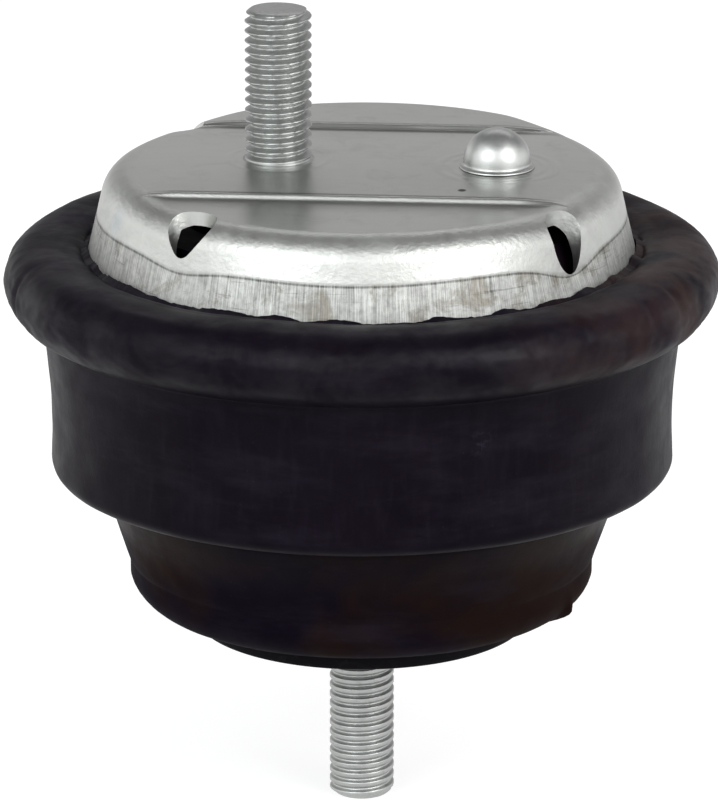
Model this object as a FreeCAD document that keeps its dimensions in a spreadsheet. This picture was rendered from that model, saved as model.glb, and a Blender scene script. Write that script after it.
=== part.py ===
import FreeCAD, Part
import math
import os
import Sketcher

# Hydraulic engine mount with a pressed pan on top and a rubber body below.
# Millimetres, +Z up.  The origin is the centre of the engine seat, the flat
# underside of the core, and the raised band of the pan runs along X.

SIZES = {
    # inner core, the bonded metal cone that takes the engine stud
    "seat_radius": 25.2,
    "seat_thickness": 3.2,
    "seat_edge_bevel": 0.6,
    "seat_ledge": 4.2,
    "core_top_radius": 12.0,
    "core_height": 26.0,
    # studs, M10, drawn at the crest of the thread
    "engine_stud_diameter": 9.75,
    "engine_stud_length": 28.0,
    "engine_stud_root_diameter": 10.6,
    "engine_stud_root_length": 15.0,
    "engine_stud_chamfer": 0.9,
    "frame_stud_diameter": 9.95,
    "frame_stud_length": 22.8,
    "frame_stud_offset": 12.5,
    "frame_stud_head_radius": 8.0,
    "frame_stud_head_thickness": 2.4,
    "frame_stud_chamfer": 0.7,
    "frame_stud_root_diameter": 10.6,
    # locating pin, swaged into the band
    "pin_diameter": 10.0,
    "pin_land": 0.8,
    "pin_offset": 20.2,
    "pin_collar_radius": 5.6,
    "pin_collar_height": 0.55,
    "pin_shank_radius": 3.6,
    "pin_tail_radius": 5.4,
    "pin_tail_thickness": 1.4,
    # outer ring, a drawn steel sleeve with a shelf and a crimped rim
    "ring_radius": 45.0,
    "ring_thickness": 1.8,
    "ring_shelf_height": 49.4,
    "ring_length": 20.9,
    "rim_width": 5.4,
    "crimp_lip": 4.8,
    # rubber body, bonded to the core and the ring in one moulding
    "lip_inset": 9.9,
    "lip_foot_rise": 0.4,
    "lip_round": 5.7,
    "lip_edge_rise": 4.7,
    "lip_edge_width": 2.5,
    "neck_inset": 7.3,
    "neck_drop": 6.6,
    "neck_top_inset": 5.7,
    "neck_fillet": 2.2,
    "body_bottom_cover": 4.2,
    "body_corner_round": 2.0,
    "body_bottom_skin": 2.0,
    "body_top_skin": 3.1,
    "body_hollow_radius": 97.0,
    "collar_skin": 3.15,
    "collar_drop": 1.5,
    "collar_foot": 1.2,
    "collar_low_round": 6.0,
    "collar_high_round": 5.5,
    "collar_mid_rise": 4.0,
    "collar_crest_inset": 1.2,
    "collar_crest_cover": 1.6,
    "collar_crest_width": 4.3,
    "collar_crest_round": 12.0,
    "collar_trough_rise": 1.3,
    "collar_trough_gap": 2.0,
    "chamber_skin": 1.2,
    "chamber_wall_depth": 6.1,
    "chamber_floor_radius": 26.0,
    "chamber_floor_rise": 3.0,
    # channel plates, clamped on the shelf, with the loose disc between them
    "plate_clearance": 0.2,
    "plate_upper_drop": 2.3,
    "plate_lower_thickness": 3.3,
    "plate_rim_thickness": 1.3,
    "track_rim": 4.0,
    "track_width": 8.0,
    "track_depth": 2.2,
    "track_sweep": 320.0,
    "track_end_angle": 6.0,
    "port_radius": 3.0,
    "disc_radius": 20.2,
    "disc_thickness": 2.0,
    "disc_clearance": 0.2,
    "window_radius": 2.6,
    "window_circle": 13.0,
    "window_count": 6,
    "rivet_radius": 1.5,
    "rivet_head_radius": 2.6,
    "rivet_head_height": 1.0,
    "rivet_clearance": 0.05,
    "rivet_count": 3,
    # diaphragm, the soft lid of the fluid under the vented pan
    "bead_thickness": 1.2,
    "diaphragm_thickness": 1.5,
    "diaphragm_foot_inset": 3.7,
    "diaphragm_fold_inset": 6.2,
    "diaphragm_fold_width": 2.0,
    "diaphragm_rise": 10.0,
    "diaphragm_dish_inset": 13.0,
    "diaphragm_dish_rise": 3.6,
    # pan, pressed from sheet with a raised band across its crown
    "sheet_thickness": 2.0,
    "flange_clearance": 0.2,
    "pan_foot_inset": 4.1,
    "pan_bend": 1.6,
    "pan_wall_height": 7.7,
    "pan_wall_taper": 1.5,
    "pan_depth": 15.5,
    "band_half_width": 20.4,
    "band_step": 1.2,
    "band_shoulder": 6.4,
    "band_round": 6.0,
    "band_angle": 80.0,
    "segment_shoulder": 5.6,
    "segment_round": 5.0,
    "segment_angle": 75.0,
    "press_overlap": 1.0,
    "pan_hole_clearance": 0.05,
    # vent holes, punched through the shoulder of the pan
    "vent_diameter": 8.0,
    "vent_count": 4,
    "vent_first_angle": -122.0,
    "vent_tilt": 52.0,
    "vent_inset": 4.0,
    "vent_drop": 4.0,
    "vent_punch_length": 9.0,
}

doc = FreeCAD.newDocument("EngineMount")
sheet = doc.addObject("Spreadsheet::Sheet", "Dims")
for row, (alias, number) in enumerate(SIZES.items(), start=1):
    sheet.set("A%d" % row, alias.replace("_", " "))
    sheet.set("B%d" % row, str(number))
    sheet.setAlias("B%d" % row, alias)
doc.recompute()


class Size:
    """A length or angle: how the sheet spells it, and what it comes to."""

    def __init__(self, text, value):
        self.text = text
        self.value = value

    def __add__(self, other):
        return joined(self, "+", other, self.value + value_of(other))

    def __sub__(self, other):
        return joined(self, "-", other, self.value - value_of(other))

    def __mul__(self, other):
        return joined(self, "*", other, self.value * value_of(other))

    def __truediv__(self, other):
        return joined(self, "/", other, self.value / value_of(other))

    def __neg__(self):
        return Size("(-%s)" % self.text, -self.value)


def value_of(item):
    """The number behind a Size or a plain number."""
    return item.value if isinstance(item, Size) else item


def text_of(item):
    """The sheet's spelling of a Size or a plain number."""
    return item.text if isinstance(item, Size) else repr(item)


def joined(left, sign, right, value):
    """Two sizes put together with an arithmetic sign."""
    return Size("(%s %s %s)" % (text_of(left), sign, text_of(right)), value)


def sine(angle):
    """Sine of an angle kept in degrees."""
    return Size("sin(%s * 1deg)" % angle.text, math.sin(math.radians(angle.value)))


def cosine(angle):
    """Cosine of an angle kept in degrees."""
    return Size("cos(%s * 1deg)" % angle.text, math.cos(math.radians(angle.value)))


class Named:
    """The sheet's sizes, each under its own name."""


dim = Named()
for alias, number in SIZES.items():
    setattr(dim, alias, Size("Dims." + alias, number))


class Bend:
    """An arc to the next point of an outline, turning left or right."""

    def __init__(self, radius, turn):
        self.radius = radius
        self.turn = turn


LEFT = 1
RIGHT = -1


def bind(item, path, size):
    """Tie one property of a feature to the sheet."""
    item.setExpression(path, text_of(size))


def origin_plane(body, role):
    """One of the origin planes of a body, found by its role."""
    for feature in body.Origin.OriginFeatures:
        if feature.Role == role:
            return feature
    raise ValueError(role)


def new_sketch(body, name, role, height=None):
    """A sketch on an origin plane of its body, raised by a height if given."""
    sketch = body.newObject("Sketcher::SketchObject", name)
    sketch.AttachmentSupport = [(origin_plane(body, role), "")]
    sketch.MapMode = "FlatFace"
    if height is not None:
        bind(sketch, "AttachmentOffset.Base.z", height)
    return sketch


def hold_point(sketch, geometry, end, across, up):
    """Pin one end of a line or arc at a place given by two sizes."""
    for kind, axis, size in (("DistanceX", -2, across), ("DistanceY", -1, up)):
        value = value_of(size)
        if abs(value) < 1e-9:
            sketch.addConstraint(Sketcher.Constraint("PointOnObject", geometry, end, axis))
        elif value > 0:
            index = sketch.addConstraint(
                Sketcher.Constraint(kind, -1, 1, geometry, end, value))
            if isinstance(size, Size):
                bind(sketch, "Constraints[%d]" % index, size)
        else:
            index = sketch.addConstraint(
                Sketcher.Constraint(kind, geometry, end, -1, 1, -value))
            if isinstance(size, Size):
                bind(sketch, "Constraints[%d]" % index, -size)


def arc_between(start, stop, radius, turn):
    """The short arc from start to stop that turns left or right."""
    chord = stop - start
    half = chord.Length / 2
    depth = math.sqrt(max(radius * radius - half * half, 0.0))
    side = FreeCAD.Vector(-chord.y, chord.x, 0).normalize()
    centre = (start + stop) * 0.5 + side * (depth * turn)
    first, last = (start, stop) if turn == LEFT else (stop, start)
    first_angle = math.atan2(first.y - centre.y, first.x - centre.x)
    last_angle = math.atan2(last.y - centre.y, last.x - centre.x)
    circle = Part.Circle(centre, FreeCAD.Vector(0, 0, 1), radius)
    return Part.ArcOfCircle(circle, first_angle, last_angle)


def outline(body, name, role, steps, height=None):
    """A closed outline of points, with a Bend between two points for an arc."""
    sketch = new_sketch(body, name, role, height)
    points = []
    bends = []
    for step in steps:
        if isinstance(step, Bend):
            bends[-1] = step
        else:
            points.append(step)
            bends.append(None)
    places = [FreeCAD.Vector(value_of(x), value_of(y), 0) for x, y in points]
    ends = []
    for index, bend in enumerate(bends):
        start = places[index]
        stop = places[(index + 1) % len(places)]
        if bend is None:
            geometry = sketch.addGeometry(Part.LineSegment(start, stop), False)
            ends.append((geometry, 1, 2))
        else:
            curve = arc_between(start, stop, value_of(bend.radius), bend.turn)
            geometry = sketch.addGeometry(curve, False)
            ends.append((geometry, 1, 2) if bend.turn == LEFT else (geometry, 2, 1))
    for index, (geometry, first, last) in enumerate(ends):
        following, following_first, _ = ends[(index + 1) % len(ends)]
        sketch.addConstraint(
            Sketcher.Constraint("Coincident", geometry, last, following, following_first))
    for (geometry, first, _), (across, up) in zip(ends, points):
        hold_point(sketch, geometry, first, across, up)
    for (geometry, _, _), bend in zip(ends, bends):
        if bend is not None:
            index = sketch.addConstraint(
                Sketcher.Constraint("Radius", geometry, value_of(bend.radius)))
            if isinstance(bend.radius, Size):
                bind(sketch, "Constraints[%d]" % index, bend.radius)
    return sketch


def new_body(label):
    """An empty PartDesign body with its label."""
    body = doc.addObject("PartDesign::Body", label)
    body.Label = label
    return body


def revolved(label, steps):
    """A body turned about Z from an outline of radius and height."""
    body = new_body(label)
    sketch = outline(body, label + "_section", "XZ_Plane", steps)
    turned = body.newObject("PartDesign::Revolution", label + "_turned")
    turned.Profile = sketch
    turned.ReferenceAxis = (sketch, ["V_Axis"])
    turned.Angle = 360.0
    sketch.Visibility = False
    doc.recompute()
    return body


def pocketed(body, name, sketch, depth=None, upward=False, through=False):
    """Cut a sketch out of a body, downward unless told upward."""
    before = body.Shape.Volume
    pocket = body.newObject("PartDesign::Pocket", name)
    pocket.Profile = sketch
    if through:
        pocket.Type = "ThroughAll"
    else:
        bind(pocket, "Length", depth)
    pocket.Reversed = upward
    doc.recompute()
    if body.Shape.Volume >= before - 1e-3:
        raise RuntimeError("%s cut nothing" % name)
    return pocket


def round_holes(body, name, radius, circle, height, count, upward=False):
    """A ring of equal holes cut right through a body, spaced about Z."""
    sketch = new_sketch(body, name + "_circle", "XY_Plane", height)
    centre = FreeCAD.Vector(value_of(circle), 0, 0)
    hole = sketch.addGeometry(
        Part.Circle(centre, FreeCAD.Vector(0, 0, 1), value_of(radius)), False)
    hold_point(sketch, hole, 3, circle, 0)
    index = sketch.addConstraint(Sketcher.Constraint("Radius", hole, value_of(radius)))
    bind(sketch, "Constraints[%d]" % index, radius)
    first = pocketed(body, name + "_first", sketch, upward=upward, through=True)
    before = body.Shape.Volume
    ring = body.newObject("PartDesign::PolarPattern", name)
    ring.Originals = [first]
    ring.Axis = (sketch, ["N_Axis"])
    ring.Angle = 360.0
    bind(ring, "Occurrences", count)
    body.Tip = ring
    doc.recompute()
    if body.Shape.Volume >= before - 1e-3:
        raise RuntimeError("%s was not repeated" % name)
    return ring


def port(body, name, angle, height, upward=False):
    """One hole over the middle of the track, cut right through a plate."""
    circle = (dim.ring_radius - dim.ring_thickness - dim.plate_clearance
              - dim.track_rim - dim.track_width / 2)
    sketch = new_sketch(body, name + "_circle", "XY_Plane", height)
    across = circle * cosine(angle)
    along = circle * sine(angle)
    centre = FreeCAD.Vector(across.value, along.value, 0)
    hole = sketch.addGeometry(
        Part.Circle(centre, FreeCAD.Vector(0, 0, 1), dim.port_radius.value), False)
    hold_point(sketch, hole, 3, across, along)
    index = sketch.addConstraint(Sketcher.Constraint("Radius", hole, dim.port_radius.value))
    bind(sketch, "Constraints[%d]" % index, dim.port_radius)
    return pocketed(body, name, sketch, upward=upward, through=True)


def cylinder(label, radius, length, base, tilt=0.0, turn=0.0):
    """A plain cylinder; base is three sizes, tilt leans it outward from Z."""
    rod = doc.addObject("Part::Cylinder", label)
    bind(rod, "Radius", radius)
    bind(rod, "Height", length)
    turned = FreeCAD.Rotation(FreeCAD.Vector(0, 0, 1), turn)
    leaned = FreeCAD.Rotation(FreeCAD.Vector(0, 1, 0), tilt)
    place = FreeCAD.Vector(*[value_of(size) for size in base])
    rod.Placement = FreeCAD.Placement(place, turned.multiply(leaned))
    return rod


def combined(kind, label, base, tool):
    """A two-part boolean: Part::Cut, Part::Fuse or Part::Common."""
    result = doc.addObject(kind, label)
    result.Base = base
    result.Tool = tool
    result.Label = label
    doc.recompute()
    return result


def gathered(label, shapes):
    """Several solids fused into one tool."""
    result = doc.addObject("Part::MultiFuse", label)
    result.Shapes = shapes
    doc.recompute()
    return result


# ---------------------------------------------------------------- levels
# The rim of the ring clamps this stack: shelf, plate rim, bead, pan flange.
ring_inner = dim.ring_radius - dim.ring_thickness
ring_bottom = dim.ring_shelf_height - dim.ring_length
rim_outer = dim.ring_radius + dim.rim_width
rim_inner = rim_outer - dim.ring_thickness
crimp_inner = rim_outer - dim.crimp_lip
shelf_top = dim.ring_shelf_height + dim.ring_thickness
plate_top = shelf_top + dim.plate_rim_thickness
bead_top = plate_top + dim.bead_thickness
flange_top = bead_top + dim.sheet_thickness
crimp_top = flange_top + dim.ring_thickness
clamped_radius = rim_inner - dim.flange_clearance
band_top = flange_top + dim.pan_depth
band_under = band_top - dim.sheet_thickness
segment_top = band_top - dim.band_step
segment_under = segment_top - dim.sheet_thickness
knee_height = flange_top + dim.pan_wall_height
pan_foot_radius = dim.ring_radius - dim.pan_foot_inset
knee_radius = pan_foot_radius - dim.pan_wall_taper


# ---------------------------------------------------------------- inner core
core_root_radius = dim.seat_radius - dim.seat_ledge
core = revolved("inner_core", [
    (0, 0),
    (dim.seat_radius - dim.seat_edge_bevel, 0),
    (dim.seat_radius, dim.seat_edge_bevel),
    (dim.seat_radius, dim.seat_thickness),
    (core_root_radius, dim.seat_thickness),
    (dim.core_top_radius, dim.core_height),
    (0, dim.core_height),
])
bore = new_sketch(core, "stud_bore_circle", "XY_Plane")
bore_circle = bore.addGeometry(
    Part.Circle(FreeCAD.Vector(0, 0, 0), FreeCAD.Vector(0, 0, 1),
                dim.engine_stud_root_diameter.value / 2), False)
bore.addConstraint(Sketcher.Constraint("Coincident", bore_circle, 3, -1, 1))
bore_radius = bore.addConstraint(
    Sketcher.Constraint("Radius", bore_circle, dim.engine_stud_root_diameter.value / 2))
bind(bore, "Constraints[%d]" % bore_radius, dim.engine_stud_root_diameter / 2)
pocketed(core, "stud_bore", bore, depth=dim.engine_stud_root_length, upward=True)


# ---------------------------------------------------------------- engine stud
stud_radius = dim.engine_stud_diameter / 2
stud_root = dim.engine_stud_root_diameter / 2
engine_stud = revolved("engine_stud", [
    (0, -dim.engine_stud_length),
    (stud_radius - dim.engine_stud_chamfer, -dim.engine_stud_length),
    (stud_radius, dim.engine_stud_chamfer - dim.engine_stud_length),
    (stud_radius, 0),
    (stud_root, 0),
    (stud_root, dim.engine_stud_root_length),
    (0, dim.engine_stud_root_length),
])


# ---------------------------------------------------------------- outer ring
outer_ring = revolved("outer_ring", [
    (ring_inner, ring_bottom),
    (dim.ring_radius, ring_bottom),
    (dim.ring_radius, dim.ring_shelf_height),
    (rim_outer, dim.ring_shelf_height),
    (rim_outer, crimp_top),
    (crimp_inner, crimp_top),
    (crimp_inner, flange_top),
    (rim_inner, flange_top),
    (rim_inner, shelf_top),
    (ring_inner, shelf_top),
])


# ---------------------------------------------------------------- rubber body
# Outside from the lip under the seat plate up to the crest of the collar,
# then down the bonded faces of the ring, the fluid chamber and the core.
lip_radius = dim.ring_radius - dim.lip_inset
lip_foot_radius = lip_radius - dim.lip_round
lip_underside = dim.seat_thickness + dim.lip_foot_rise
lip_edge_height = dim.seat_thickness + dim.lip_edge_rise
body_bottom = ring_bottom - dim.body_bottom_cover
neck_top_radius = dim.ring_radius - dim.neck_top_inset
body_bottom_radius = dim.ring_radius + dim.body_bottom_skin
body_top_radius = dim.ring_radius + dim.body_top_skin
corner_height = body_bottom + dim.body_corner_round
collar_foot_height = dim.ring_shelf_height - dim.collar_drop
collar_radius = rim_outer + dim.collar_skin
collar_mid_height = dim.ring_shelf_height + dim.collar_mid_rise
crest_radius = rim_outer - dim.collar_crest_inset
crest_height = crimp_top + dim.collar_crest_cover
crest_inner = crest_radius - dim.collar_crest_width
trough_radius = pan_foot_radius + dim.collar_trough_gap
chamber_radius = ring_inner - dim.chamber_skin
plate_split = shelf_top - dim.plate_upper_drop
plate_bottom = plate_split - dim.plate_lower_thickness
rubber_body = revolved("rubber_body", [
    (core_root_radius, dim.seat_thickness),
    (dim.seat_radius, dim.seat_thickness),
    (lip_foot_radius, lip_underside),
    Bend(dim.lip_round, LEFT),
    (lip_radius, lip_edge_height),
    (lip_radius, lip_edge_height + dim.lip_edge_width),
    (dim.ring_radius - dim.neck_inset, body_bottom - dim.neck_drop),
    (neck_top_radius, body_bottom - dim.neck_fillet),
    Bend(dim.neck_fillet, RIGHT),
    (neck_top_radius + dim.neck_fillet, body_bottom),
    (body_bottom_radius - dim.body_corner_round, body_bottom),
    Bend(dim.body_corner_round, LEFT),
    (body_bottom_radius, corner_height),
    Bend(dim.body_hollow_radius, RIGHT),
    (body_top_radius, collar_foot_height),
    (body_top_radius + dim.collar_foot, collar_foot_height),
    Bend(dim.collar_low_round, LEFT),
    (collar_radius, collar_mid_height),
    Bend(dim.collar_high_round, LEFT),
    (crest_radius, crest_height),
    Bend(dim.collar_crest_round, LEFT),
    (crest_inner, crest_height),
    (trough_radius, flange_top + dim.collar_trough_rise),
    (trough_radius, flange_top),
    (crimp_inner, flange_top),
    (crimp_inner, crimp_top),
    (rim_outer, crimp_top),
    (rim_outer, dim.ring_shelf_height),
    (dim.ring_radius, dim.ring_shelf_height),
    (dim.ring_radius, ring_bottom),
    (ring_inner, ring_bottom),
    (ring_inner, plate_bottom),
    (chamber_radius, plate_bottom),
    (chamber_radius, plate_bottom - dim.chamber_wall_depth),
    (dim.chamber_floor_radius, dim.core_height + dim.chamber_floor_rise),
    (dim.core_top_radius, dim.core_height),
])


# ---------------------------------------------------------------- channel plates
plate_radius = ring_inner - dim.plate_clearance
track_outer = plate_radius - dim.track_rim
track_inner = track_outer - dim.track_width
recess_depth = dim.disc_thickness / 2 + dim.disc_clearance
recess_radius = dim.disc_radius + dim.disc_clearance
plate_lower = revolved("channel_plate_lower", [
    (0, plate_bottom),
    (plate_radius, plate_bottom),
    (plate_radius, plate_split),
    (recess_radius, plate_split),
    (recess_radius, plate_split - recess_depth),
    (0, plate_split - recess_depth),
])
plate_upper = revolved("channel_plate_upper", [
    (0, plate_split + recess_depth),
    (recess_radius, plate_split + recess_depth),
    (recess_radius, plate_split),
    (plate_radius, plate_split),
    (plate_radius, shelf_top),
    (clamped_radius, shelf_top),
    (clamped_radius, plate_top),
    (0, plate_top),
])


def track_outline(body):
    """The long channel, an open ring in the face where the plates meet."""
    half = dim.track_sweep / 2
    inner_x = track_inner * cosine(half)
    inner_y = track_inner * sine(half)
    outer_x = track_outer * cosine(half)
    outer_y = track_outer * sine(half)
    return outline(body, "track", "XY_Plane", [
        (outer_x, -outer_y),
        Bend(track_outer, LEFT),
        (track_outer, 0),
        Bend(track_outer, LEFT),
        (outer_x, outer_y),
        (inner_x, inner_y),
        Bend(track_inner, RIGHT),
        (track_inner, 0),
        Bend(track_inner, RIGHT),
        (inner_x, -inner_y),
    ], height=plate_split)


pocketed(plate_lower, "track_cut", track_outline(plate_lower), depth=dim.track_depth)
port_angle = dim.track_sweep / 2 - dim.track_end_angle
port(plate_lower, "port_lower", port_angle, plate_split)
port(plate_upper, "port_upper", -port_angle, plate_top)
rivet_hole = dim.rivet_radius + dim.rivet_clearance
rivet_circle = (recess_radius + track_inner) / 2
for plate, top in ((plate_lower, plate_split), (plate_upper, plate_top)):
    side = plate.Label.split("_")[-1]
    round_holes(plate, "windows_" + side, dim.window_radius, dim.window_circle,
                top, dim.window_count)
    round_holes(plate, "rivet_holes_" + side, rivet_hole, rivet_circle,
                top, dim.rivet_count)

disc = revolved("decoupler_disc", [
    (0, plate_split - dim.disc_thickness / 2),
    (dim.disc_radius, plate_split - dim.disc_thickness / 2),
    (dim.disc_radius, plate_split + dim.disc_thickness / 2),
    (0, plate_split + dim.disc_thickness / 2),
])


def rivet(number):
    """One rivet through both plates, headed on each side."""
    turn = 360.0 / dim.rivet_count.value * number
    across = rivet_circle * math.cos(math.radians(turn))
    along = rivet_circle * math.sin(math.radians(turn))
    name = "rivet_%d" % (number + 1)
    shank = cylinder(name + "_shank", dim.rivet_radius, plate_top - plate_bottom,
                     (across, along, plate_bottom))
    low = cylinder(name + "_low_head", dim.rivet_head_radius, dim.rivet_head_height,
                   (across, along, plate_bottom - dim.rivet_head_height))
    high = cylinder(name + "_high_head", dim.rivet_head_radius, dim.rivet_head_height,
                    (across, along, plate_top))
    return gathered(name, [shank, low, high])


rivets = doc.addObject("Part::Compound", "channel_rivets")
rivets.Links = [rivet(number) for number in range(int(dim.rivet_count.value))]
rivets.Label = "channel_rivets"


# ---------------------------------------------------------------- diaphragm
# One soft wall: clamped bead, a fold that rises into the pan, a dished middle.
skin = dim.diaphragm_thickness
foot_radius = pan_foot_radius - dim.diaphragm_foot_inset
fold_outer = foot_radius - dim.diaphragm_fold_inset + dim.diaphragm_fold_width
fold_inner = fold_outer - dim.diaphragm_fold_width * 2
fold_top = plate_top + dim.diaphragm_rise
dish_radius = fold_outer - dim.diaphragm_fold_width - dim.diaphragm_dish_inset
dish_top = plate_top + dim.diaphragm_dish_rise
diaphragm = revolved("diaphragm", [
    (0, dish_top - skin),
    (dish_radius, dish_top - skin),
    (fold_inner, fold_top),
    (fold_outer, fold_top),
    (foot_radius, plate_top),
    (clamped_radius, plate_top),
    (clamped_radius, bead_top),
    (foot_radius + skin, bead_top),
    (fold_outer + skin, fold_top + skin),
    (fold_inner - skin, fold_top + skin),
    (dish_radius - skin, dish_top),
    (0, dish_top),
])


# ---------------------------------------------------------------- pan
def shoulder_end(flat_radius, rounding, angle, top):
    """Where a rounding that starts on a flat crown has turned by an angle."""
    middle = top - rounding
    return (flat_radius + rounding * sine(angle), middle + rounding * cosine(angle))


segment_flat = knee_radius - dim.segment_shoulder
segment_outer = shoulder_end(
    segment_flat, dim.segment_round, dim.segment_angle, segment_top)
segment_inner = shoulder_end(
    segment_flat, dim.segment_round - dim.sheet_thickness, dim.segment_angle, segment_under)
band_flat = knee_radius - dim.band_shoulder
band_outer = shoulder_end(
    band_flat, dim.band_round, dim.band_angle, band_top)
band_inner = shoulder_end(
    band_flat, dim.band_round - dim.sheet_thickness, dim.band_angle, band_under)
bend_radius = pan_foot_radius + dim.pan_bend
pan_sheet = revolved("pan_sheet", [
    (0, segment_under),
    (segment_flat, segment_under),
    segment_inner,
    (knee_radius - dim.sheet_thickness, knee_height),
    (pan_foot_radius - dim.sheet_thickness, flange_top + dim.pan_bend),
    (bend_radius, bead_top),
    (clamped_radius, bead_top),
    (clamped_radius, flange_top),
    (bend_radius, flange_top),
    (pan_foot_radius, flange_top + dim.pan_bend),
    (knee_radius, knee_height),
    segment_outer,
    Bend(dim.segment_round, LEFT),
    (segment_flat, segment_top),
    (0, segment_top),
])
band_sheet = revolved("band_sheet", [
    (0, band_under),
    (band_flat, band_under),
    band_inner,
    (knee_radius - dim.sheet_thickness, knee_height),
    (knee_radius, knee_height),
    band_outer,
    Bend(dim.band_round, LEFT),
    (band_flat, band_top),
    (0, band_top),
])


def band_slab(label, half_width, low, step, high):
    """A slab along X, its long edges rounded over and eased out at the foot."""
    body = new_body(label)
    soft = step / 2
    foot = half_width + soft
    shoulder = half_width - soft
    sketch = outline(body, label + "_section", "YZ_Plane", [
        (-foot, low),
        (foot, low),
        (foot, high - step),
        Bend(soft, RIGHT),
        (half_width, high - soft),
        Bend(soft, LEFT),
        (shoulder, high),
        (-shoulder, high),
        Bend(soft, LEFT),
        (-half_width, high - soft),
        Bend(soft, RIGHT),
        (-foot, high - step),
    ])
    pad = body.newObject("PartDesign::Pad", label + "_pad")
    pad.Profile = sketch
    bind(pad, "Length", pan_foot_radius * 2)
    pad.Midplane = True
    sketch.Visibility = False
    doc.recompute()
    return body


slab = band_slab("band_slab", dim.band_half_width, knee_height - dim.press_overlap,
                 dim.band_step, band_top)
band = combined("Part::Common", "band_press", band_sheet, slab)
pressed = combined("Part::Fuse", "pan_pressed", pan_sheet, band)


def hollow_outline(body):
    """Underside of the band: straight sides, ends on the flat of the crown."""
    half_width = dim.band_half_width - dim.sheet_thickness
    reach = band_flat
    ends = Size("sqrt(%s^2 - %s^2)" % (reach.text, half_width.text),
                math.sqrt(reach.value ** 2 - half_width.value ** 2))
    return outline(body, "band_hollow_plan", "XY_Plane", [
        (ends, -half_width),
        Bend(reach, LEFT),
        (ends, half_width),
        (-ends, half_width),
        Bend(reach, LEFT),
        (-ends, -half_width),
    ], height=segment_under - dim.press_overlap)


hollow = new_body("band_hollow")
hollow_pad = hollow.newObject("PartDesign::Pad", "band_hollow_pad")
hollow_pad.Profile = hollow_outline(hollow)
bind(hollow_pad, "Length", dim.band_step + dim.press_overlap)
doc.recompute()

stud_hole = cylinder("frame_stud_hole",
                     dim.frame_stud_root_diameter / 2 + dim.pan_hole_clearance,
                     dim.sheet_thickness * 4,
                     (-dim.frame_stud_offset, 0, band_under - dim.sheet_thickness))
pin_hole = cylinder("pin_hole",
                    dim.pin_shank_radius + dim.pan_hole_clearance,
                    dim.sheet_thickness * 4,
                    (dim.pin_offset, 0, band_under - dim.sheet_thickness))


def vent_punch(number):
    """One punch, square to the shoulder, through the sheet of the pan."""
    turn = dim.vent_first_angle.value + 360.0 / dim.vent_count.value * number
    back = dim.vent_punch_length / 2
    reach = knee_radius - dim.vent_inset - back * cosine(dim.vent_tilt)
    across = reach * math.cos(math.radians(turn))
    along = reach * math.sin(math.radians(turn))
    up = band_top - dim.vent_drop - back * sine(dim.vent_tilt)
    return cylinder("vent_punch_%d" % (number + 1), dim.vent_diameter / 2,
                    dim.vent_punch_length * 1.5, (across, along, up),
                    tilt=90.0 - dim.vent_tilt.value, turn=turn)


punches = [vent_punch(number) for number in range(int(dim.vent_count.value))]
openings = gathered("pan_openings", [hollow, stud_hole, pin_hole] + punches)
base_pan = combined("Part::Cut", "base_pan", pressed, openings)


# ---------------------------------------------------------------- frame stud
frame_radius = dim.frame_stud_diameter / 2
frame_root = dim.frame_stud_root_diameter / 2
frame_stud = revolved("frame_stud", [
    (0, -dim.sheet_thickness - dim.frame_stud_head_thickness),
    (dim.frame_stud_head_radius, -dim.sheet_thickness - dim.frame_stud_head_thickness),
    (dim.frame_stud_head_radius, -dim.sheet_thickness),
    (frame_root, -dim.sheet_thickness),
    (frame_root, 0),
    (frame_radius, 0),
    (frame_radius, dim.frame_stud_length - dim.frame_stud_chamfer),
    (frame_radius - dim.frame_stud_chamfer, dim.frame_stud_length),
    (0, dim.frame_stud_length),
])
bind(frame_stud, "Placement.Base.x", -dim.frame_stud_offset)
bind(frame_stud, "Placement.Base.z", band_top)


# ---------------------------------------------------------------- locating pin
pin_radius = dim.pin_diameter / 2
locating_pin = revolved("locating_pin", [
    (0, -dim.sheet_thickness - dim.pin_tail_thickness),
    (dim.pin_tail_radius, -dim.sheet_thickness - dim.pin_tail_thickness),
    (dim.pin_tail_radius, -dim.sheet_thickness),
    (dim.pin_shank_radius, -dim.sheet_thickness),
    (dim.pin_shank_radius, 0),
    (dim.pin_collar_radius, 0),
    (dim.pin_collar_radius, dim.pin_collar_height / 2),
    (pin_radius, dim.pin_collar_height),
    (pin_radius, dim.pin_land),
    Bend(pin_radius, LEFT),
    (0, dim.pin_land + pin_radius),
])
bind(locating_pin, "Placement.Base.x", dim.pin_offset)
bind(locating_pin, "Placement.Base.z", band_top)


# ---------------------------------------------------------------- check and write
doc.recompute()
for item in doc.Objects:
    if "Invalid" in item.State or "Error" in item.State:
        raise RuntimeError("%s did not rebuild" % item.Label)

NODES = [base_pan, frame_stud, locating_pin, outer_ring, rubber_body, core,
         engine_stud, plate_lower, plate_upper, disc, rivets, diaphragm]
os.makedirs("parts", exist_ok=True)
for node in NODES:
    shape = node.Shape
    if shape.isNull() or not shape.isValid() or not shape.Solids:
        raise RuntimeError("%s has no sound solid" % node.Label)
    shape.exportStep("parts/%s.step" % node.Label)
    box = shape.BoundBox
    print("%-20s solids %d volume %.0f z %.2f to %.2f" % (
        node.Label, len(shape.Solids), shape.Volume, box.ZMin, box.ZMax))
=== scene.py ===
import bpy
import bmesh
import math
from collections import namedtuple
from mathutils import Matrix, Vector, noise


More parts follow.
